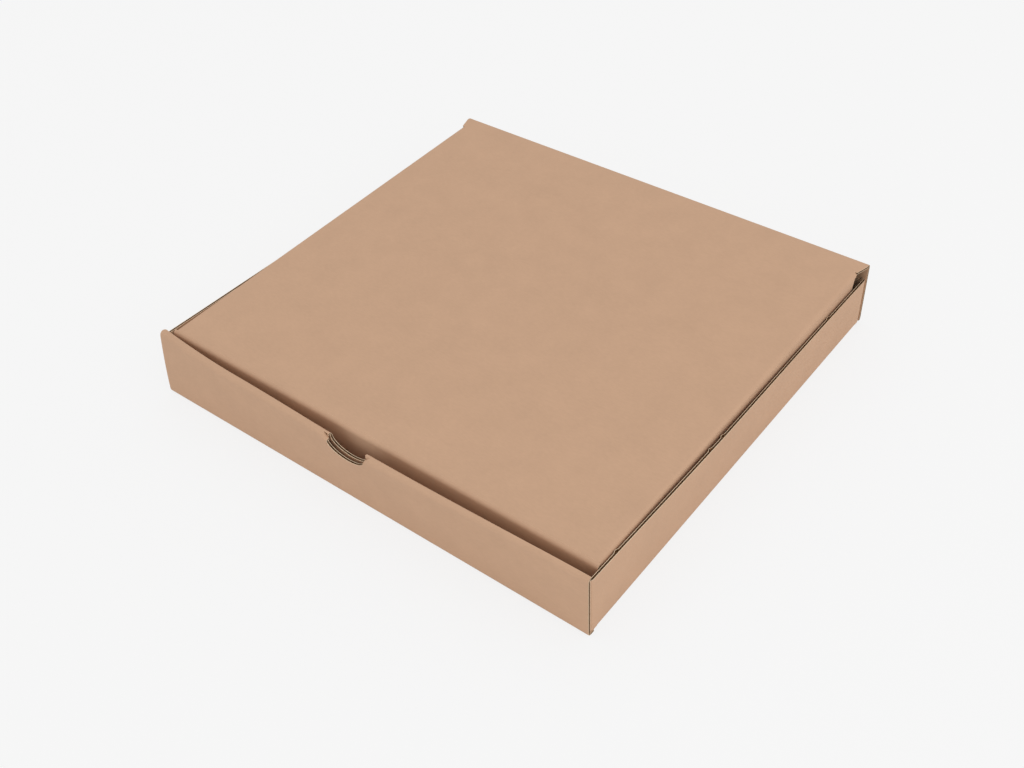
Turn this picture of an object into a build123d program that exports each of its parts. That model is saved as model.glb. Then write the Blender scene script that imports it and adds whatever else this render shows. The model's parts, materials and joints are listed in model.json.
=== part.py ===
from build123d import *

import math
import os

# Pizza box of E-flute corrugated board: one die-cut sheet folded into a tray with a
# hinged lid.  The tray stands on Z = 0 and the origin is at the centre of its
# footprint.  X runs along the rolled front wall, Y points to the hinge, Z points up.
# All sizes are in millimetres.

# Outside of the closed box
box_width = 320.0
box_depth = 305.0
box_height = 46.0

# The board and its folds
board = 1.6
crease_radius = 1.3
fit_gap = 0.2

# Rolled front wall: outer panel, narrow top strip, inner panel
front_tab_slack = 0.3
inner_panel_end_gap = 0.4
lock_tab_width = 55.0
lock_tab_offset = 82.0
lock_tab_floor_gap = 0.3
slot_gap = 0.3

# Thumb notch cut through the middle of the rolled front wall
notch_width = 26.0
notch_depth = 11.0
notch_shoulder_radius = 3.0

# Side walls, whose top edges fall towards the hinge, and their corner tabs
side_wall_front_drop = 3.6
side_wall_rear_drop = 11.0
front_tab_length = 72.0
rear_tab_length = 48.0

# Lid, which lies inside the tray and leans on its tuck flaps
lid_side_gap = 0.9
lid_front_gap = 6.3
lid_front_drop = 3.3
lid_rest_gap = 0.3
flap_corner_gap = 0.6
flap_rear_gap = 14.0
flap_rear_slope = 9.0
hinge_band = 12.0
hinge_gap = 0.5

# Places that follow from the sizes above
half_width = box_width / 2
half_depth = box_depth / 2
front_face = -half_depth
rear_face = half_depth
outer_panel_back = front_face + board
front_wall_depth = 3 * board + fit_gap + front_tab_slack
inner_panel_back = front_face + front_wall_depth
inner_panel_front = inner_panel_back - board
inner_panel_half = half_width - board - inner_panel_end_gap
inner_panel_bottom = board + fit_gap
side_wall_start = outer_panel_back + fit_gap
side_wall_end = rear_face - board - fit_gap
side_wall_half = half_width - board

hinge_y = rear_face - board / 2
hinge_z = box_height - board / 2
back_wall_top = hinge_z - board / 2 - hinge_gap

lid_half = side_wall_half - lid_side_gap
lid_length = hinge_y - (inner_panel_back + lid_front_gap)
flap_height = box_height - lid_front_drop - board - lid_rest_gap
lid_droop = math.degrees(math.asin(lid_front_drop / lid_length))

# How far a cutting block runs past the face that it cuts
overcut = 1.0


def block(x_low, x_high, y_low, y_high, z_low, z_high):
    """A plain block between two opposite corners."""
    size = (x_high - x_low, y_high - y_low, z_high - z_low)
    return Pos(x_low, y_low, z_low) * Box(*size, align=(Align.MIN, Align.MIN, Align.MIN))


def outline(points, rounded):
    """A flat outline through the points, with the listed corners rounded as folds."""
    face = Polygon(*points, align=None)
    corners = [v for v in face.vertices() if any(math.dist((v.X, v.Y), c) < 1e-6 for c in rounded)]
    return fillet(corners, crease_radius)


def along_x(face, half_length):
    """A prism of a (Y, Z) outline, the same length to both sides of X = 0."""
    return extrude(Plane.YZ * face, half_length, both=True)


def along_y(face, y_low, y_high):
    """A prism of an (X, Z) outline from one Y to another."""
    return extrude(Plane.XZ.offset(-y_low) * face, y_high - y_low, dir=(0, 1, 0))


def along_z(face, z_low, z_high):
    """A prism of an (X, Y) outline from one Z to another."""
    return extrude(Plane.XY.offset(z_low) * face, z_high - z_low, dir=(0, 0, 1))


def lengthwise_sheet():
    """Back wall, floor and rolled front wall, as one strip of board in section."""
    points = [
        (rear_face, 0),
        (rear_face, back_wall_top),
        (rear_face - board, back_wall_top),
        (rear_face - board, board),
        (outer_panel_back, board),
        (outer_panel_back, box_height - board),
        (inner_panel_front, box_height - board),
        (inner_panel_front, inner_panel_bottom),
        (inner_panel_back, inner_panel_bottom),
        (inner_panel_back, box_height),
        (front_face, box_height),
        (front_face, 0),
    ]
    folds = [(rear_face, 0), (inner_panel_back, box_height), (front_face, box_height), (front_face, 0)]
    sheet = along_x(outline(points, folds), half_width)
    for side in (-1, 1):
        strip_end = [
            (side * (half_width + overcut), outer_panel_back),
            (side * half_width, outer_panel_back),
            (side * inner_panel_half, inner_panel_front),
            (side * inner_panel_half, inner_panel_back + overcut),
            (side * (half_width + overcut), inner_panel_back + overcut),
        ]
        sheet -= along_z(Polygon(*strip_end, align=None), inner_panel_bottom, box_height + overcut)
        inside, outside = sorted((side * side_wall_half, side * (half_width + overcut)))
        sheet -= block(inside, outside, side_wall_start, side_wall_end, -overcut, board + overcut)
    return sheet


def crosswise_sheet():
    """Floor and both side walls in section, with top edges that fall to the rear."""
    points = [
        (-half_width, 0),
        (half_width, 0),
        (half_width, box_height),
        (side_wall_half, box_height),
        (side_wall_half, board),
        (-side_wall_half, board),
        (-side_wall_half, box_height),
        (-half_width, box_height),
    ]
    folds = [(-half_width, 0), (half_width, 0)]
    return along_y(outline(points, folds), side_wall_start, side_wall_end)


def corner_tab(side, tab_length, face_low, face_high, outer_corner_y):
    """A tab turned in from the end of a side wall, with its upright fold rounded."""
    corner = (side * half_width, outer_corner_y)
    points = [
        (side * half_width, face_low),
        (side * half_width, face_high),
        (side * (half_width - tab_length), face_high),
        (side * (half_width - tab_length), face_low),
    ]
    return along_z(outline(points, [corner]), inner_panel_bottom, box_height)


def corner_relief(side, y_corner, inward):
    """What a side wall loses where its upright fold at a corner is rounded."""
    radius = crease_radius
    x_low, x_high = sorted((side * (half_width - radius), side * (half_width + overcut)))
    y_low, y_high = sorted((y_corner + inward * radius, y_corner - inward * overcut))
    corner_block = block(x_low, x_high, y_low, y_high, inner_panel_bottom, box_height + overcut)
    axis = Pos(side * (half_width - radius), y_corner + inward * radius, inner_panel_bottom)
    rounding = axis * Cylinder(radius, box_height, align=(Align.CENTER, Align.CENTER, Align.MIN))
    return corner_block - rounding


def side_walls():
    """Both side walls with the floor between them and their four corner tabs."""
    walls = crosswise_sheet()
    for side in (-1, 1):
        front_tab_back = side_wall_start + board
        rear_tab_front = side_wall_end - board
        walls += corner_tab(side, front_tab_length, side_wall_start, front_tab_back, side_wall_start)
        walls += corner_tab(side, rear_tab_length, rear_tab_front, side_wall_end, side_wall_end)
        walls -= corner_relief(side, side_wall_start, 1)
        walls -= corner_relief(side, side_wall_end, -1)
    sloping_top = [
        (front_face, -overcut),
        (rear_face, -overcut),
        (rear_face, box_height - side_wall_rear_drop),
        (front_face, box_height - side_wall_front_drop),
    ]
    return walls & along_x(Polygon(*sloping_top, align=None), half_width + overcut)


def thumb_notch():
    """The half-oval cutter of the thumb notch, with rounded shoulders at its mouth."""
    mouth_height = notch_depth
    mouth = Pos(0, box_height + mouth_height / 2) * Rectangle(2 * notch_width, mouth_height)
    shape = mouth + Pos(0, box_height) * Ellipse(notch_width / 2, notch_depth)
    shoulders = [
        v for v in shape.vertices()
        if abs(v.Y - box_height) < 1e-3 and abs(abs(v.X) - notch_width / 2) < 1e-3
    ]
    rounded = fillet(shoulders, notch_shoulder_radius)
    return along_y(rounded, front_face - overcut, inner_panel_back + overcut)


def lock_tab(side):
    """A tab on the foot of the inner panel that stands in its slot in the floor."""
    centre = side * lock_tab_offset
    x_low = centre - lock_tab_width / 2
    x_high = centre + lock_tab_width / 2
    return block(x_low, x_high, inner_panel_front, inner_panel_back, lock_tab_floor_gap, inner_panel_bottom)


def lock_slot(side):
    """The slot through the floor that a lock tab stands in."""
    centre = side * lock_tab_offset
    x_low = centre - lock_tab_width / 2 - slot_gap
    x_high = centre + lock_tab_width / 2 + slot_gap
    y_low = inner_panel_front - slot_gap
    y_high = inner_panel_back + slot_gap
    return block(x_low, x_high, y_low, y_high, -overcut, board)


def make_tray():
    """The tray: floor, rolled front wall, side walls, corner tabs and back wall."""
    tray = lengthwise_sheet() + side_walls()
    for side in (-1, 1):
        tray -= lock_slot(side)
        tray += lock_tab(side)
    tray -= thumb_notch()
    return tray.clean()


def lid_lengthwise_sheet():
    """Lid panel and front flap in section, about the hinge line at (0, 0)."""
    points = [
        (0, board / 2),
        (-lid_length, board / 2),
        (-lid_length, board / 2 - flap_height),
        (board - lid_length, board / 2 - flap_height),
        (board - lid_length, -board / 2),
        (0, -board / 2),
    ]
    section = outline(points, [(-lid_length, board / 2)]) + Circle(board / 2)
    return along_x(section, half_width)


def lid_crosswise_sheet():
    """Lid panel and both side flaps in section, with the flaps' rear ends sloped."""
    top = board / 2
    points = [
        (-lid_half, top - flap_height),
        (-lid_half, top),
        (lid_half, top),
        (lid_half, top - flap_height),
        (lid_half - board, top - flap_height),
        (lid_half - board, -top),
        (board - lid_half, -top),
        (board - lid_half, top - flap_height),
    ]
    flaps_start = board - lid_length + flap_corner_gap
    sheet = along_y(outline(points, [(-lid_half, top), (lid_half, top)]), flaps_start, -flap_rear_gap)
    sloped_end = [
        (-flap_rear_gap, -top),
        (-flap_rear_gap - flap_rear_slope, top - flap_height),
        (-flap_rear_gap - flap_rear_slope, top - flap_height - overcut),
        (overcut - flap_rear_gap, top - flap_height - overcut),
        (overcut - flap_rear_gap, -top),
    ]
    return sheet - along_x(Polygon(*sloped_end, align=None), half_width)


def make_lid():
    """The lid: panel, front and side tuck flaps, and the full-width band at the hinge."""
    flaps_start = board - lid_length + flap_corner_gap
    top = board / 2
    sheet = lid_lengthwise_sheet()
    for side in (-1, 1):
        panel_side, outside = sorted((side * lid_half, side * (half_width + overcut)))
        front_limit = -lid_length - overcut
        sheet -= block(panel_side, outside, front_limit, -hinge_band, -flap_height - overcut, overcut)
        fold_side, outside = sorted((side * (lid_half - board), side * (half_width + overcut)))
        sheet -= block(fold_side, outside, flaps_start, -flap_rear_gap, -top - overcut, overcut)
    lid = sheet + lid_crosswise_sheet()
    return (Pos(0, hinge_y, hinge_z) * Rot(lid_droop, 0, 0) * lid).clean()


def main():
    """Build both pieces and write one STEP file for each."""
    os.makedirs("parts", exist_ok=True)
    pieces = {"tray": make_tray(), "lid": make_lid()}
    for name, piece in pieces.items():
        export_step(piece, f"parts/{name}.step")


main()
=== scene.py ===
import json
import math

import bmesh
import bpy
import numpy as np
from bpy.props import FloatProperty, FloatVectorProperty, StringProperty
from mathutils import Matrix, Vector


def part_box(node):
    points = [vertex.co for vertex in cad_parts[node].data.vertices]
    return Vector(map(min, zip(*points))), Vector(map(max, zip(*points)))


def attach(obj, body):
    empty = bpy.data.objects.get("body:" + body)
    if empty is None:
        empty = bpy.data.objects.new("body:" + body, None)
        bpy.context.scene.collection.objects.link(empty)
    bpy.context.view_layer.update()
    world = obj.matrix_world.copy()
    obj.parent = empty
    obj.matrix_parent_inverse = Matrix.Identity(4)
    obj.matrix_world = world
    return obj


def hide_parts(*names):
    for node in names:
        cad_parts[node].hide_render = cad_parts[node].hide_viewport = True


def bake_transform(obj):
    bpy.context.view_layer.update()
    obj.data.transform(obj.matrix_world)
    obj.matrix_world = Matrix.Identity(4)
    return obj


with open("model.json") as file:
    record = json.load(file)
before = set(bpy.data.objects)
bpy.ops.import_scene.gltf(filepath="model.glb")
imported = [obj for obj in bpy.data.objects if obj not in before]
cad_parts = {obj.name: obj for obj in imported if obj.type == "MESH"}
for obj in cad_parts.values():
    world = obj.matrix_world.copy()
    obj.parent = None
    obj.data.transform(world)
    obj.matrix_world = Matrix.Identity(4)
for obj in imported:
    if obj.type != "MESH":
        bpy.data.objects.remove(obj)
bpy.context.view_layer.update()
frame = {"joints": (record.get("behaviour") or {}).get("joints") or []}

bl_info = {
    "name": "Kraft Pizza Box",
    "version": (1, 0, 0),
    "blender": (4, 5, 0),
    "location": "View3D > Sidebar > Pizza Box",
    "description": "Builds a folded corrugated pizza box around its packed frame",
    "category": "Add Mesh",
}

# Everything is in metres, in the frame's own axes: X along the rolled front wall,
# Y towards the hinge, Z up.  MM turns millimetres into metres.
MM = 0.001
TRAY_LOW, TRAY_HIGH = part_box("tray")
LID_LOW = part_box("lid")[0]
HINGE = Vector(frame["joints"][0]["pos_m"])

HALF_WIDTH = TRAY_HIGH.x
FRONT, REAR = TRAY_LOW.y, TRAY_HIGH.y
HEIGHT = TRAY_HIGH.z
BOARD = 2 * (REAR - HINGE.y)
FIT_GAP = 0.2 * MM

# Rolled front wall, side walls and lid, as the folded sheet has them
FRONT_DEPTH = 3 * BOARD + 0.5 * MM
INNER_HALF = HALF_WIDTH - BOARD - 0.4 * MM
SIDE_FRONT_DROP, SIDE_REAR_DROP = 3.6 * MM, 11.0 * MM
FRONT_TAB, REAR_TAB = 72 * MM, 48 * MM
LID_HALF = HALF_WIDTH - BOARD - 0.9 * MM
LID_LENGTH = HINGE.y - LID_LOW.y
LID_DROP = 3.3 * MM
FLAP_HEIGHT = HEIGHT - LID_DROP - BOARD - 0.3 * MM
DROOP = math.asin(LID_DROP / LID_LENGTH)
HINGE_BAND, FLAP_REAR_GAP, FLAP_REAR_ANGLE = 12 * MM, 14 * MM, math.radians(9)

# Where the strips of board meet, a little way in from each fold
SEAM = 5 * MM
LID_FRONT_SEAM = 2.6 * MM

# The thumb notch's corners are rounded off, and its mouth opens this much wider each side
NOTCH_SHOULDER, NOTCH_EASE = 3 * MM, 1 * MM

# Points drawn along each flute, and the size of the clouds in the paper's tone
FLUTE_POINTS = 7
CLOUD_SIZE = 22 * MM

# Where the die's nicks left bumps on the right wall's top edge, back from the front face
NICKS = [26 * MM, 115 * MM, 128 * MM, 254 * MM]

OUTSIDE, INSIDE, FLUTING, CUT_EDGE = range(4)


class BoardSettings(bpy.types.PropertyGroup):
    """The corrugated board's make-up and colours."""

    liner: FloatProperty(
        name="Liner", description="Thickness of each flat liner paper", default=0.26 * MM, unit="LENGTH"
    )
    medium: FloatProperty(
        name="Medium", description="Thickness of the fluted paper", default=0.2 * MM, unit="LENGTH"
    )
    pitch: FloatProperty(
        name="Flute pitch", description="From one flute to the next", default=3.5 * MM, unit="LENGTH"
    )
    fold_radius: FloatProperty(
        name="Fold radius", description="Radius of a creased fold, mid-board", default=1.0 * MM, unit="LENGTH"
    )
    lid_radius: FloatProperty(
        name="Lid fold radius", description="Radius of the lid's folds, mid-board", default=1.3 * MM,
        unit="LENGTH",
    )
    kraft: StringProperty(name="Kraft", description="Outside liner, sRGB hex", default="#C6A184")
    kraft_inside: StringProperty(name="Inside", description="Inside liner, sRGB hex", default="#C09B7C")
    kraft_medium: StringProperty(name="Fluting", description="Fluted paper, sRGB hex", default="#7A5636")
    kraft_edge: StringProperty(name="Cut edge", description="Cut liner edge, sRGB hex", default="#E6CFB2")


class ShapeSettings(bpy.types.PropertyGroup):
    """How the folded box has sagged, bowed and been handled."""

    front_bow: FloatProperty(
        name="Front bow", description="How far the front wall's top bellies out", default=3.2 * MM,
        unit="LENGTH",
    )
    side_bow: FloatProperty(
        name="Side bow", description="How far the right wall's top bellies out", default=1.2 * MM,
        unit="LENGTH",
    )
    pinch: FloatProperty(
        name="Pinched corner", description="How far the left front corner is pushed in", default=4.0 * MM,
        unit="LENGTH",
    )
    flap_lean: FloatProperty(
        name="Flap lean", description="How far past square the lid's side flaps are folded",
        default=math.radians(2), subtype="ANGLE",
    )
    notch_width: FloatProperty(
        name="Notch width", description="Mouth of the thumb notch", default=26 * MM, unit="LENGTH"
    )
    notch_depth: FloatProperty(
        name="Notch depth", description="Depth of the thumb notch", default=11 * MM, unit="LENGTH"
    )


class StageSettings(bpy.types.PropertyGroup):
    """Camera and studio light."""

    azimuth: FloatProperty(
        name="Azimuth", description="Camera's angle round the box", default=math.radians(40.0),
        subtype="ANGLE",
    )
    elevation: FloatProperty(
        name="Elevation", description="Camera's angle above the floor", default=math.radians(42.5),
        subtype="ANGLE",
    )
    roll: FloatProperty(
        name="Roll", description="Camera's turn about its view line", default=math.radians(-3.5),
        subtype="ANGLE",
    )
    distance: FloatProperty(
        name="Distance", description="From the camera to the floor point it aims at", default=0.7683,
        unit="LENGTH",
    )
    aim: FloatVectorProperty(
        name="Aim", description="Point on the floor that the camera looks at", default=(0.0121, -0.0242, 0.0),
        size=3, subtype="XYZ", unit="LENGTH",
    )
    lens: FloatProperty(
        name="Lens", description="Focal length on a 36 mm sensor", default=43.4, unit="CAMERA"
    )
    room_strength: FloatProperty(name="Room", description="Brightness of the even room light", default=0.87)
    lamp_power: FloatProperty(name="Lamp", description="Power of the soft lamp", default=6.0, unit="POWER")
    backdrop: StringProperty(name="Backdrop", description="Floor and wall, sRGB hex", default="#F7F7F7")


# ---------------------------------------------------------------- folded paths


class FoldPath:
    """A flat path of straight runs and rounded folds, measured along its length."""

    def __init__(self, corners, radii):
        self.runs = []
        points = [np.array(c, float) for c in corners]
        start, length = points[0], 0.0
        for i in range(1, len(points)):
            end = points[i]
            heading = (end - points[i - 1]) / np.linalg.norm(end - points[i - 1])
            if i < len(points) - 1:
                after = points[i + 1] - end
                after = after / np.linalg.norm(after)
                turn = math.atan2(heading[0] * after[1] - heading[1] * after[0], float(heading @ after))
                radius = radii[i - 1]
                stop = end - heading * radius * math.tan(abs(turn) / 2)
            else:
                turn, radius, stop = 0.0, 0.0, end
            run = float(np.linalg.norm(stop - start))
            self.runs.append(("line", length, run, start, heading, 0.0, 0.0))
            length += run
            if turn:
                arc = radius * abs(turn)
                self.runs.append(("fold", length, arc, stop, heading, radius, turn))
                length += arc
                start = end + after * radius * math.tan(abs(turn) / 2)
        self.length = length

    def folds(self):
        """The places along the path where each fold is, at its middle."""
        return [start + size / 2 for kind, start, size, *_ in self.runs if kind == "fold"]

    def at(self, distances):
        """Points and left-hand normals at the given distances along the path."""
        distances = np.asarray(distances, float)
        points = np.zeros(distances.shape + (2,))
        normals = np.zeros_like(points)
        for kind, begin, size, start, heading, radius, turn in self.runs:
            last = begin + size >= self.length - 1e-12
            here = (distances >= begin - 1e-12) & ((distances < begin + size) | last)
            along = distances[here] - begin
            left = np.array([-heading[1], heading[0]])
            if kind == "line":
                points[here] = start + along[:, None] * heading
                normals[here] = left
                continue
            side = math.copysign(1.0, turn)
            angle = along / radius
            centre = start + left * side * radius
            spoke = -left * side
            cosine, sine = np.cos(angle)[:, None], np.sin(angle)[:, None]
            points[here] = centre + radius * (spoke * cosine + heading * sine)
            normals[here] = -side * (spoke * cosine + heading * sine)
        return points, normals


def samples(length, step, folds=(), fine=0.35 * MM, reach=3.2 * MM, extra=()):
    """Distances along a strip: even steps, with finer ones round each fold."""
    marks = list(np.linspace(0, length, max(2, int(math.ceil(length / step)) + 1)))
    for fold in folds:
        marks += list(np.arange(max(0, fold - reach), min(length, fold + reach), fine))
    marks = np.array(sorted(marks + list(extra)))
    keep = np.concatenate([[True], np.diff(marks) > 0.02 * MM])
    marks = marks[keep]
    marks[-1] = length
    return marks


def crush(distances, folds, share=0.42, reach=1.7 * MM):
    """The board's thickness along a strip, as a share of full, pressed thin at creases."""
    thickness = np.ones_like(np.asarray(distances, float))
    for fold in folds:
        thickness *= 1 - share * np.exp(-(((distances - fold) / reach) ** 2) * 2)
    return thickness


# ---------------------------------------------------------------- mesh making


class Sheet:
    """Collects closed slabs of paper for one piece of board."""

    def __init__(self):
        self.points, self.faces, self.papers = [], [], []
        self.count = 0

    def slab(self, low, high, low_paper, high_paper, rim_paper=CUT_EDGE):
        """A closed slab between two grids of points, with the rims filled in."""
        rows, columns = low.shape[:2]
        index = np.arange(rows * columns).reshape(rows, columns)
        bottom, top = index + self.count, index + rows * columns + self.count
        for grid, paper, flip in ((bottom, low_paper, True), (top, high_paper, False)):
            quads = np.stack([grid[:-1, :-1], grid[1:, :-1], grid[1:, 1:], grid[:-1, 1:]], -1).reshape(-1, 4)
            self.add(quads[:, ::-1] if flip else quads, paper)
        rims = (
            (bottom[0], top[0]), (top[-1], bottom[-1]), (top[:, 0], bottom[:, 0]), (bottom[:, -1], top[:, -1])
        )
        for near, far in rims:
            quads = np.stack([near[:-1], far[:-1], far[1:], near[1:]], -1)
            self.add(quads[:, ::-1], rim_paper)
        self.points += [low.reshape(-1, 3), high.reshape(-1, 3)]
        self.count += 2 * rows * columns

    def add(self, quads, paper):
        """Adds quads that are all of one paper."""
        self.faces.append(quads)
        self.papers.append(np.full(len(quads), paper))

    def board(self, place, rows, columns, wave_rows, wave_columns, wave, thickness):
        """One stretch of corrugated board: two liners with the fluted medium between.

        place(row, column, offset) gives points, offset being measured to the outside.
        wave(row, column) is the flute's phase, and thickness(row) the share left at creases."""
        board = bpy.context.scene.box_board
        half, liner, medium = BOARD / 2, board.liner, board.medium
        row, column = np.meshgrid(rows, columns, indexing="ij")
        share = thickness(row)
        outer, inner = half * share, -half * share
        self.slab(place(row, column, outer - liner), place(row, column, outer), FLUTING, OUTSIDE)
        self.slab(place(row, column, inner), place(row, column, inner + liner), INSIDE, FLUTING)
        row, column = np.meshgrid(wave_rows, wave_columns, indexing="ij")
        glue = 0.01 * MM
        swing = np.maximum(half * thickness(row) - liner - medium / 2 - glue, 0.02 * MM)
        middle = swing * np.cos(wave(row, column))
        self.slab(
            place(row, column, middle - medium / 2), place(row, column, middle + medium / 2),
            FLUTING, FLUTING, FLUTING,
        )

    def finish(self, name, materials):
        """Turns the slabs into a mesh object with one material for each paper."""
        mesh = bpy.data.meshes.new(name)
        mesh.from_pydata(np.concatenate(self.points).tolist(), [], np.concatenate(self.faces).tolist())
        mesh.polygons.foreach_set("material_index", np.concatenate(self.papers).astype(np.int32))
        for material in materials:
            mesh.materials.append(material)
        mesh.update()
        shell = bmesh.new()
        shell.from_mesh(mesh)
        bmesh.ops.recalc_face_normals(shell, faces=shell.faces)
        shell.to_mesh(mesh)
        shell.free()
        mesh.shade_smooth()
        mesh.set_sharp_from_angle(angle=math.radians(35))
        piece = bpy.data.objects.new(name, mesh)
        bpy.context.scene.collection.objects.link(piece)
        return piece


def ease(value):
    """Smooth step from 0 to 1."""
    value = np.clip(value, 0, 1)
    return value * value * (3 - 2 * value)


def everywhere(row):
    """Board that keeps its full thickness."""
    return np.ones_like(row)


# ---------------------------------------------------------------- materials


def linear(hex_colour):
    """An sRGB hex colour as linear RGBA."""
    parts = [int(hex_colour[i:i + 2], 16) / 255 for i in (1, 3, 5)]
    return [p / 12.92 if p <= 0.04045 else ((p + 0.055) / 1.055) ** 2.4 for p in parts] + [1.0]


def add_node(tree, kind, settings=None, links=None):
    """Adds a node, sets its inputs or properties, and links its inputs."""
    node = tree.nodes.new(kind)
    for name, value in (settings or {}).items():
        if isinstance(name, int) or name in node.inputs:
            node.inputs[name].default_value = value
        else:
            setattr(node, name, value)
    for name, source in (links or {}).items():
        tree.links.new(source, node.inputs[name])
    return node


def kraft_paper(name, colour, contrast, fibre_mm, bump_mm, roughness):
    """Unbleached paper: cloudy tone, short fibres lying along X, and a matt felted skin.

    The pieces share it, so one that is already made is used again."""
    if name in bpy.data.materials:
        return bpy.data.materials[name]
    material = bpy.data.materials.new(name)
    material.use_nodes = True
    tree = material.node_tree
    tree.nodes.clear()
    base = linear(colour)
    place = add_node(tree, "ShaderNodeTexCoord").outputs["Object"]
    cloud = add_node(
        tree, "ShaderNodeTexNoise", {"Scale": 1 / CLOUD_SIZE, "Detail": 4.0, "Roughness": 0.6},
        {"Vector": place},
    )
    # Fibres are a few tenths of a millimetre wide; they are drawn coarse enough to be seen
    stretched = add_node(
        tree, "ShaderNodeMapping", {"Scale": (0.3, 1.0, 1.0)}, {"Vector": place}
    ).outputs["Vector"]
    fibre = add_node(
        tree, "ShaderNodeTexNoise", {"Scale": 1 / (fibre_mm * MM), "Detail": 3.0}, {"Vector": stretched}
    )
    both = add_node(
        tree, "ShaderNodeMix", {"data_type": "FLOAT", "Factor": 0.45},
        {"A": cloud.outputs["Fac"], "B": fibre.outputs["Fac"]},
    )
    ramp = add_node(tree, "ShaderNodeValToRGB", {}, {"Fac": both.outputs["Result"]})
    dark = [c * (1 - contrast) for c in base[:3]] + [1.0]
    pale = [c * (1 + contrast) for c in base[:3]] + [1.0]
    ramp.color_ramp.elements[0].position, ramp.color_ramp.elements[1].position = 0.3, 0.7
    ramp.color_ramp.elements[0].color, ramp.color_ramp.elements[1].color = dark, pale
    bump = add_node(
        tree, "ShaderNodeBump", {"Strength": 0.5, "Distance": bump_mm * MM}, {"Height": fibre.outputs["Fac"]}
    )
    shader = add_node(
        tree, "ShaderNodeBsdfPrincipled", {"Roughness": roughness, "IOR": 1.5, "Specular IOR Level": 0.25},
        {"Base Color": ramp.outputs["Color"], "Normal": bump.outputs["Normal"]},
    )
    add_node(tree, "ShaderNodeOutputMaterial", {}, {"Surface": shader.outputs["BSDF"]})
    return material


def outside_liner(board):
    """Machine-finished kraft liner."""
    # Calendered flat on the mill: even warm brown with faint clouds and a soft sheen
    return kraft_paper("kraft_liner_machine_finished", board.kraft, 0.05, 0.9, 0.03, 0.72)


def inside_liner(board):
    """The unfinished back of the kraft liner."""
    # Never pressed smooth: a little duller and woollier than the outside
    return kraft_paper("kraft_liner_unfinished_back", board.kraft_inside, 0.07, 1.1, 0.05, 0.82)


def fluting(board):
    """The corrugated recycled medium."""
    # Short recycled fibre: darker and coarser, seen only down the open flutes
    return kraft_paper("corrugated_recycled_medium", board.kraft_medium, 0.12, 1.0, 0.06, 0.9)


def cut_edge(board):
    """Liner cut through by the die."""
    # Torn fibres catch the light and read pale
    return kraft_paper("kraft_liner_die_cut_edge", board.kraft_edge, 0.1, 0.7, 0.05, 0.9)


def board_papers():
    """The four papers that show on the board, in the order of their slots."""
    board = bpy.context.scene.box_board
    return [paper(board) for paper in (outside_liner, inside_liner, fluting, cut_edge)]


# ---------------------------------------------------------------- board pieces


def lid_point(distance, across, height):
    """A point of the lid: forward of the hinge, across, and up from the middle of the board."""
    cosine, sine = math.cos(DROOP), math.sin(DROOP)
    y = HINGE.y - distance * cosine - height * sine
    return np.stack([across, y, HINGE.z - distance * sine + height * cosine], -1)


def flute(distance):
    """The fluted paper's phase at a distance across the flutes."""
    return 2 * math.pi * distance / bpy.context.scene.box_board.pitch


def flute_marks(start, stop):
    """Places across the flutes, evenly spaced."""
    count = int(abs(stop - start) / bpy.context.scene.box_board.pitch * FLUTE_POINTS) + 1
    return np.linspace(start, stop, count + 1)


def lengthwise(sheet, path, half, columns, wave_columns):
    """A strip whose flutes run along X: path is its section in Y and Z, half(row) its half-width."""
    folds = path.folds()

    def place(row, column, offset):
        points, normals = path.at(row)
        profile = points + normals * offset[..., None]
        return np.stack([column * half(row), profile[..., 0], profile[..., 1]], -1)

    sheet.board(
        place, samples(path.length, 6 * MM, folds), columns, flute_marks(0.0, path.length), wave_columns,
        lambda row, column: flute(row), lambda row: crush(row, folds),
    )


def side_top(y):
    """Height of the side walls' sloping top edge."""
    share = (y - FRONT) / (REAR - FRONT)
    return HEIGHT - SIDE_FRONT_DROP - (SIDE_REAR_DROP - SIDE_FRONT_DROP) * share


def side_wall(sheet, side):
    """One side wall with its bottom fold; the flutes run up it."""
    board = bpy.context.scene.box_board
    nominal = HEIGHT - SIDE_FRONT_DROP
    foot = 4 * MM
    reach = REAR - FIT_GAP - BOARD - BOARD / 2 - SEAM
    wall_x = HALF_WIDTH - BOARD / 2
    path = FoldPath(
        [(wall_x, nominal), (wall_x, BOARD / 2), (HALF_WIDTH - SEAM, BOARD / 2)], [board.fold_radius]
    )
    folds = path.folds()

    def place(row, column, offset):
        points, normals = path.at(row)
        profile = points + normals * offset[..., None]
        x, z = profile[..., 0], profile[..., 1]
        top = side_top(column)
        z = np.where(z > foot, foot + (z - foot) * (top - foot) / (nominal - foot), z)
        return np.stack([side * x, column, z], -1)

    rows = samples(path.length, 7 * MM, folds, fine=0.5 * MM, extra=(0.8 * MM,))
    # Closer columns round each nick, so that its bump has a shape
    around = np.linspace(-3 * MM, 3 * MM, 9)
    columns = np.sort(np.concatenate([np.linspace(-reach, reach, 51)] + [FRONT + n + around for n in NICKS]))
    sheet.board(
        place, rows, columns, samples(path.length, 24 * MM, folds, fine=1.4 * MM),
        flute_marks(-reach, reach), lambda row, column: flute(column), lambda row: crush(row, folds),
    )


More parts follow.
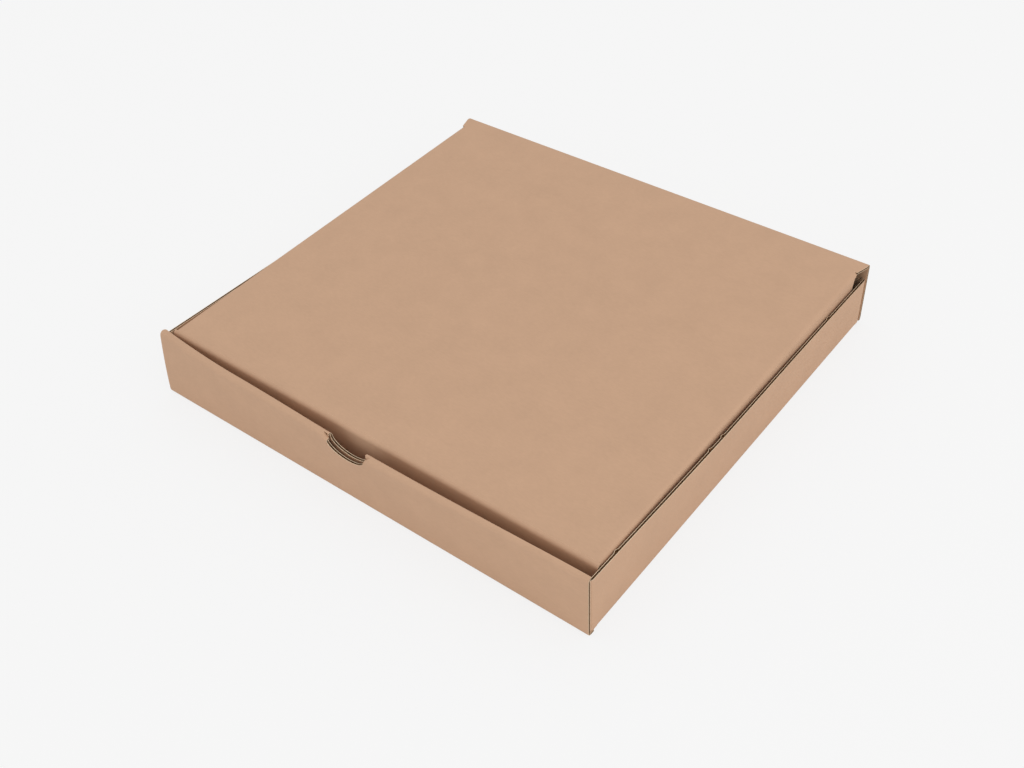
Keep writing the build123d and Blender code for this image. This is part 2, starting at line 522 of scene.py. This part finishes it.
def corner_tab(sheet, side, end):
    """A tab folded in from a side wall's end, with its flutes upright."""
    board = bpy.context.scene.box_board
    length = FRONT_TAB if end < 0 else REAR_TAB
    wall_x, tab_y = HALF_WIDTH - BOARD / 2, REAR - FIT_GAP - BOARD - BOARD / 2
    below_strip = 2 * MM if end > 0 else 0.4 * MM
    path = FoldPath(
        [(wall_x, tab_y - SEAM), (wall_x, tab_y), (HALF_WIDTH - length, tab_y)], [board.fold_radius]
    )
    folds = path.folds()

    def place(row, column, offset):
        points, normals = path.at(row)
        profile = points - normals * offset[..., None]
        y = end * profile[..., 1]
        low = BOARD + FIT_GAP
        past_fold = ease((HALF_WIDTH - BOARD - 1 * MM - profile[..., 0]) / (1.5 * MM))
        top = side_top(y) - below_strip * past_fold
        z = low + (top - low) * column
        return np.stack([side * profile[..., 0], y, z], -1)

    rows = samples(path.length, 8 * MM, folds, fine=0.4 * MM)
    sheet.board(
        place, rows, np.linspace(0, 1, 8), flute_marks(0, path.length), np.linspace(0, 1, 5),
        lambda row, column: flute(row), lambda row: crush(row, folds),
    )


def notch_half():
    """Half the width of the thumb notch where the strip is cut."""
    return bpy.context.scene.box_shape.notch_width / 2 + NOTCH_EASE


def notch_top(across):
    """Height of the thumb notch's edge across its mouth."""
    depth = bpy.context.scene.box_shape.notch_depth
    round_part = np.sqrt(np.clip(1 - (across / notch_half()) ** 2, 0, 1))
    return HEIGHT - NOTCH_SHOULDER - (depth - NOTCH_SHOULDER) * round_part


def front_wall(sheet):
    """The rolled front wall: outer panel, top strip and inner panel, with the thumb notch."""
    board = bpy.context.scene.box_board
    half_notch = notch_half()
    outer_y, inner_y = FRONT + BOARD / 2, FRONT + FRONT_DEPTH - BOARD / 2
    foot = BOARD + FIT_GAP
    radius = board.fold_radius
    path = FoldPath(
        [
            (FRONT + SEAM, BOARD / 2), (outer_y, BOARD / 2), (outer_y, HEIGHT - BOARD / 2),
            (inner_y, HEIGHT - BOARD / 2), (inner_y, foot),
        ],
        [radius, radius, radius],
    )
    folds = path.folds()
    inner_start = folds[2] + 2 * MM

    def half(row):
        turned = ease((row - folds[1] - 1 * MM) / (inner_start - folds[1]))
        return HALF_WIDTH + (INNER_HALF - HALF_WIDTH) * turned

    for low, high in ((-1, -half_notch / HALF_WIDTH), (half_notch / HALF_WIDTH, 1)):
        lengthwise(sheet, path, half, np.linspace(low, high, 43), np.linspace(low, high, 13))

    # The middle, where the notch is cut: two plain panels under its edge
    across = half_notch * np.sin(np.linspace(-math.pi / 2, math.pi / 2, 33))
    bend = folds[0] + 3 * MM
    full_row = folds[0] + HEIGHT - BOARD / 2 - radius

    def outer_row(row, column):
        top = folds[0] + (notch_top(column) - BOARD / 2) - radius * (1 - math.pi / 4)
        return np.where(row > bend, bend + (row - bend) * (top - bend) / (full_row - bend), row)

    def place_outer(row, column, offset):
        points, normals = path.at(outer_row(row, column))
        profile = points + normals * offset[..., None]
        return np.stack([column, profile[..., 0], profile[..., 1]], -1)

    def place_inner(row, column, offset):
        z = foot + (notch_top(column) - foot) * row
        return np.stack([column, inner_y + offset, z], -1)

    rows = samples(full_row, 5 * MM, folds[:1])
    sheet.board(
        place_outer, rows, across, flute_marks(0, full_row), across[::2],
        lambda row, column: flute(outer_row(row, column)), lambda row: crush(row, folds[:1]),
    )
    sheet.board(
        place_inner, np.linspace(0, 1, 9), across, np.linspace(0, 1, 97), across[::2],
        lambda row, column: flute((notch_top(column) - foot) * row), everywhere,
    )


def front_shift(x, y, z):
    """How far the front wall leans back: bowed out in the middle, pinched in at the left."""
    shape = bpy.context.scene.box_shape
    bow_middle, bow_reach = 25 * MM, 135 * MM
    pinch_start, pinch_reach = -95 * MM, 60 * MM
    rise = np.clip(z / HEIGHT, 0, 1) ** 1.4
    near_front = ease((FRONT + 40 * MM - y) / (33 * MM))
    bow = np.cos(np.clip((x - bow_middle) / bow_reach, -1, 1) * math.pi / 2) ** 2
    pinch = np.clip((pinch_start - x) / pinch_reach, 0, 1.1) ** 1.6
    return near_front * rise * (shape.pinch * pinch - shape.front_bow * bow)


def strip_narrowing(x, y, z):
    """How far the top strip's inner edge closes up towards the right."""
    inner_edge = ease((y - FRONT - 2.5 * MM) / (2 * MM)) * ease((z - 41.5 * MM) / (3 * MM))
    towards_right = ease((x - 20 * MM) / (130 * MM)) * ease((FRONT + 8 * MM - y) / (2 * MM))
    return 1.6 * MM * inner_edge * towards_right


def right_belly(x, y, z):
    """How far the right wall bellies out."""
    middle, reach = 120 * MM, 80 * MM
    belly = np.exp(-(((y - FRONT - middle) / reach) ** 2))
    at_side = ease((np.abs(x) - HALF_WIDTH + 6 * MM) / (3 * MM)) * ease((REAR - 6 * MM - y) / (20 * MM))
    rise = np.clip(z / HEIGHT, 0, 1) ** 1.5
    return (x > 0) * bpy.context.scene.box_shape.side_bow * belly * at_side * rise


def nick_bump(x, y, z):
    """How far the right wall's inner liner stands in at the nicks."""
    size, half_length, depth = 0.8 * MM, 1.3 * MM, 4 * MM
    nick = sum(np.exp(-(((y - FRONT - n) / half_length) ** 2)) for n in NICKS)
    inner_liner = (x > HALF_WIDTH - BOARD - 0.5 * MM) & (x < HALF_WIDTH - 0.6 * BOARD)
    return size * nick * inner_liner * ease((z - side_top(y) + depth) / depth)


def shoulder_drop(x, y, z):
    """How far the front wall's top rounds off beside the thumb notch."""
    half = notch_half()
    into = np.clip(half + NOTCH_SHOULDER - np.abs(x), 0, NOTCH_SHOULDER)
    drop = NOTCH_SHOULDER - np.sqrt(NOTCH_SHOULDER**2 - into**2)
    on_wall = (np.abs(x) >= half - 0.01 * MM) * (y < FRONT + 8 * MM)
    return drop * ease((z - 38 * MM) / (6 * MM)) * on_wall


def settle(points):
    """The tray as it sags and has been handled, from the crisp folded one."""
    x, y, z = points.T
    moved = points.copy()
    moved[:, 0] += right_belly(x, y, z) - nick_bump(x, y, z)
    moved[:, 1] += front_shift(x, y, z) - strip_narrowing(x, y, z)
    moved[:, 2] -= shoulder_drop(x, y, z)
    return moved


class MESH_OT_box_tray(bpy.types.Operator):
    """Folds the tray: floor, back wall, side walls with their tabs and the rolled front wall"""

    bl_idname = "mesh.box_tray"
    bl_label = "Tray"

    def execute(self, context):
        board = context.scene.box_board
        sheet = Sheet()
        path = FoldPath(
            [(HINGE.y, HEIGHT - SEAM), (HINGE.y, BOARD / 2), (FRONT + SEAM, BOARD / 2)], [board.fold_radius]
        )
        fold = path.folds()[0]

        def half(row):
            return HALF_WIDTH - SEAM * ease((row - fold) / (1.5 * MM))

        lengthwise(sheet, path, half, np.linspace(-1, 1, 9), np.linspace(-1, 1, 3))
        front_wall(sheet)
        for side in (-1, 1):
            side_wall(sheet, side)
            for end in (-1, 1):
                corner_tab(sheet, side, end)
        sheet.points = [settle(points) for points in sheet.points]
        piece = sheet.finish("tray_board", board_papers())
        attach(piece, "tray")
        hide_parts("tray")
        return {"FINISHED"}


class MESH_OT_box_lid(bpy.types.Operator):
    """Folds the lid: top panel with its side flaps, and the front flap"""

    bl_idname = "mesh.box_lid"
    bl_label = "Lid"

    def execute(self, context):
        board, shape = context.scene.box_board, context.scene.box_shape
        sheet = Sheet()
        fold_x, drop = LID_HALF - BOARD / 2, FLAP_HEIGHT - BOARD / 2
        lean = drop * math.tan(shape.flap_lean)
        across = FoldPath(
            [(-fold_x + lean, -drop), (-fold_x, 0), (fold_x, 0), (fold_x - lean, -drop)],
            [board.lid_radius] * 2,
        )
        folds = across.folds()
        last = LID_LENGTH - LID_FRONT_SEAM
        flap_end = LID_LENGTH - BOARD - 0.6 * MM
        slope = math.tan(FLAP_REAR_ANGLE)

        def span(row, column):
            points, _ = across.at(row)
            depth = np.clip(-points[..., 1] - 1.5 * MM, 0, None)
            on_flap = ease(depth / (1.5 * MM))
            start = HINGE_BAND + on_flap * (FLAP_REAR_GAP - HINGE_BAND + slope * depth)
            stop = last + on_flap * (flap_end - last)
            return start + (stop - start) * column

        def place(row, column, offset):
            points, normals = across.at(row)
            profile = points + normals * offset[..., None]
            return lid_point(span(row, column), profile[..., 0], profile[..., 1])

        rows = samples(across.length, 14 * MM, folds, fine=0.4 * MM)
        wave_rows = samples(across.length, 30 * MM, folds, fine=1.0 * MM)
        turns = flute_marks(HINGE_BAND, last)
        share = (turns - turns[0]) / (turns[-1] - turns[0])
        sheet.board(
            place, rows, np.linspace(0, 1, 91), wave_rows, share,
            lambda row, column: flute(span(row, column)), lambda row: crush(row, folds, 0.3),
        )

        front_fold = -(LID_LENGTH - BOARD / 2)
        front = FoldPath([(front_fold, -drop), (front_fold, 0), (-last, 0)], [board.lid_radius])
        edge = front.folds()

        def place_front(row, column, offset):
            points, normals = front.at(row)
            profile = points + normals * offset[..., None]
            return lid_point(-profile[..., 0], column, profile[..., 1])

        sheet.board(
            place_front, samples(front.length, 8 * MM, edge), np.linspace(-LID_HALF, LID_HALF, 41),
            flute_marks(0, front.length), np.linspace(-LID_HALF, LID_HALF, 5),
            lambda row, column: flute(row), lambda row: crush(row, edge, 0.3),
        )
        piece = sheet.finish("lid_board", board_papers())
        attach(piece, "lid")
        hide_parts("lid")
        return {"FINISHED"}


class MESH_OT_box_hinge(bpy.types.Operator):
    """Folds the crease that joins the lid to the back wall"""

    bl_idname = "mesh.box_hinge"
    bl_label = "Hinge fold"

    def execute(self, context):
        board = context.scene.box_board
        sheet = Sheet()
        cosine, sine = math.cos(DROOP), math.sin(DROOP)
        path = FoldPath(
            [
                (HINGE.y - HINGE_BAND * cosine, HINGE.z - HINGE_BAND * sine), (HINGE.y, HINGE.z),
                (HINGE.y, HEIGHT - SEAM),
            ],
            [board.fold_radius],
        )

        def half(row):
            return LID_HALF + (HALF_WIDTH - LID_HALF) * ease(row / (HINGE_BAND - 2.5 * MM))

        lengthwise(sheet, path, half, np.linspace(-1, 1, 41), np.linspace(-1, 1, 9))
        piece = sheet.finish("hinge_fold", board_papers())
        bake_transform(piece)
        return {"FINISHED"}


# ---------------------------------------------------------------- stage


class SCENE_OT_box_stage(bpy.types.Operator):
    """Sets the pale floor, the soft studio light and the camera"""

    bl_idname = "scene.box_stage"
    bl_label = "Stage"

    def execute(self, context):
        stage = context.scene.box_stage
        self.pale_floor(stage)
        self.studio_light(context, stage)
        self.camera(context, stage)
        context.scene.view_settings.view_transform = "Standard"
        return {"FINISHED"}

    def pale_floor(self, stage):
        """A wide sweep of seamless paper, mostly even to the eye but keeping the box's shadow."""
        size = 6.0
        mesh = bpy.data.meshes.new("floor")
        corners = [(-size, -size, 0), (size, -size, 0), (size, size, 0), (-size, size, 0)]
        mesh.from_pydata(corners, [], [(0, 1, 2, 3)])
        floor = bpy.data.objects.new("floor", mesh)
        bpy.context.scene.collection.objects.link(floor)
        material = bpy.data.materials.new("seamless_backdrop_paper")
        material.use_nodes = True
        tree = material.node_tree
        tree.nodes.clear()
        pale = linear(stage.backdrop)
        paper = add_node(tree, "ShaderNodeBsdfDiffuse", {"Color": pale})
        glow = add_node(tree, "ShaderNodeEmission", {"Color": pale, "Strength": 1.0})
        seen = self.seen_directly(tree)
        # The share that is plain paper is what shows the shadow
        share = add_node(tree, "ShaderNodeMath", {"operation": "MULTIPLY", 1: 0.86}, {0: seen})
        mix = add_node(
            tree, "ShaderNodeMixShader", {}, {0: share.outputs[0], 1: paper.outputs[0], 2: glow.outputs[0]}
        )
        add_node(tree, "ShaderNodeOutputMaterial", {}, {"Surface": mix.outputs[0]})
        mesh.materials.append(material)

    def seen_directly(self, tree):
        """1 for camera, glossy and transmission rays, else 0."""
        path = add_node(tree, "ShaderNodeLightPath")
        total = path.outputs["Is Camera Ray"]
        for name in ("Is Glossy Ray", "Is Transmission Ray"):
            either = {"operation": "ADD", "use_clamp": True}
            total = add_node(tree, "ShaderNodeMath", either, {0: total, 1: path.outputs[name]}).outputs[0]
        return total

    def studio_light(self, context, stage):
        """A bright even room, and one broad soft lamp from the right."""
        world = bpy.data.worlds.new("studio_room")
        context.scene.world = world
        world.use_nodes = True
        tree = world.node_tree
        tree.nodes.clear()
        white = (1, 1, 1, 1)
        room = add_node(tree, "ShaderNodeBackground", {"Color": white, "Strength": stage.room_strength})
        seen = add_node(tree, "ShaderNodeBackground", {"Color": linear(stage.backdrop), "Strength": 1.0})
        direct = self.seen_directly(tree)
        mix = add_node(
            tree, "ShaderNodeMixShader", {}, {0: direct, 1: room.outputs[0], 2: seen.outputs[0]}
        )
        add_node(tree, "ShaderNodeOutputWorld", {}, {"Surface": mix.outputs[0]})
        lamp = bpy.data.lights.new("soft_box", "AREA")
        lamp.shape, lamp.size, lamp.size_y, lamp.energy = "RECTANGLE", 1.6, 1.2, stage.lamp_power
        soft_box = bpy.data.objects.new("soft_box", lamp)
        soft_box.location = (1.5, -0.5, 1.3)
        soft_box.rotation_euler = Vector(soft_box.location).to_track_quat("Z", "Y").to_euler()
        context.scene.collection.objects.link(soft_box)

    def camera(self, context, stage):
        """A camera that looks down on the front right corner."""
        flat = math.cos(stage.elevation)
        back = Vector((
            math.sin(stage.azimuth) * flat, -math.cos(stage.azimuth) * flat, math.sin(stage.elevation)
        ))
        level = Vector((math.cos(stage.azimuth), math.sin(stage.azimuth), 0))
        right = level * math.cos(stage.roll) + back.cross(level) * math.sin(stage.roll)
        turn = Matrix((right, back.cross(right), back)).transposed()
        lens = bpy.data.cameras.new("camera")
        lens.sensor_width, lens.lens, lens.clip_start = 36, stage.lens, 0.01
        camera = bpy.data.objects.new("camera", lens)
        camera.matrix_world = Matrix.Translation(Vector(stage.aim) + back * stage.distance) @ turn.to_4x4()
        context.scene.collection.objects.link(camera)
        context.scene.camera = camera


class VIEW3D_PT_box(bpy.types.Panel):
    """Lists the steps that build the box."""

    bl_label = "Pizza Box"
    bl_idname = "VIEW3D_PT_box"
    bl_space_type = "VIEW_3D"
    bl_region_type = "UI"
    bl_category = "Pizza Box"

    def draw(self, context):
        for settings in (context.scene.box_board, context.scene.box_shape, context.scene.box_stage):
            for name in settings.__annotations__:
                self.layout.prop(settings, name)
        for step in STEPS:
            self.layout.operator(step.bl_idname)


SETTINGS = {"box_board": BoardSettings, "box_shape": ShapeSettings, "box_stage": StageSettings}
STEPS = (MESH_OT_box_tray, MESH_OT_box_lid, MESH_OT_box_hinge, SCENE_OT_box_stage)


def register():
    """Adds the settings, the steps and the panel."""
    for kind in (*SETTINGS.values(), *STEPS, VIEW3D_PT_box):
        bpy.utils.register_class(kind)
    for name, kind in SETTINGS.items():
        setattr(bpy.types.Scene, name, bpy.props.PointerProperty(type=kind))


def unregister():
    """Takes them all away again."""
    for name in SETTINGS:
        delattr(bpy.types.Scene, name)
    for kind in reversed((*SETTINGS.values(), *STEPS, VIEW3D_PT_box)):
        bpy.utils.unregister_class(kind)


def main():
    """Builds the box and its stage."""
    register()
    bpy.ops.mesh.box_tray()
    bpy.ops.mesh.box_lid()
    bpy.ops.mesh.box_hinge()
    bpy.ops.scene.box_stage()


if __name__ == "__main__":
    main()
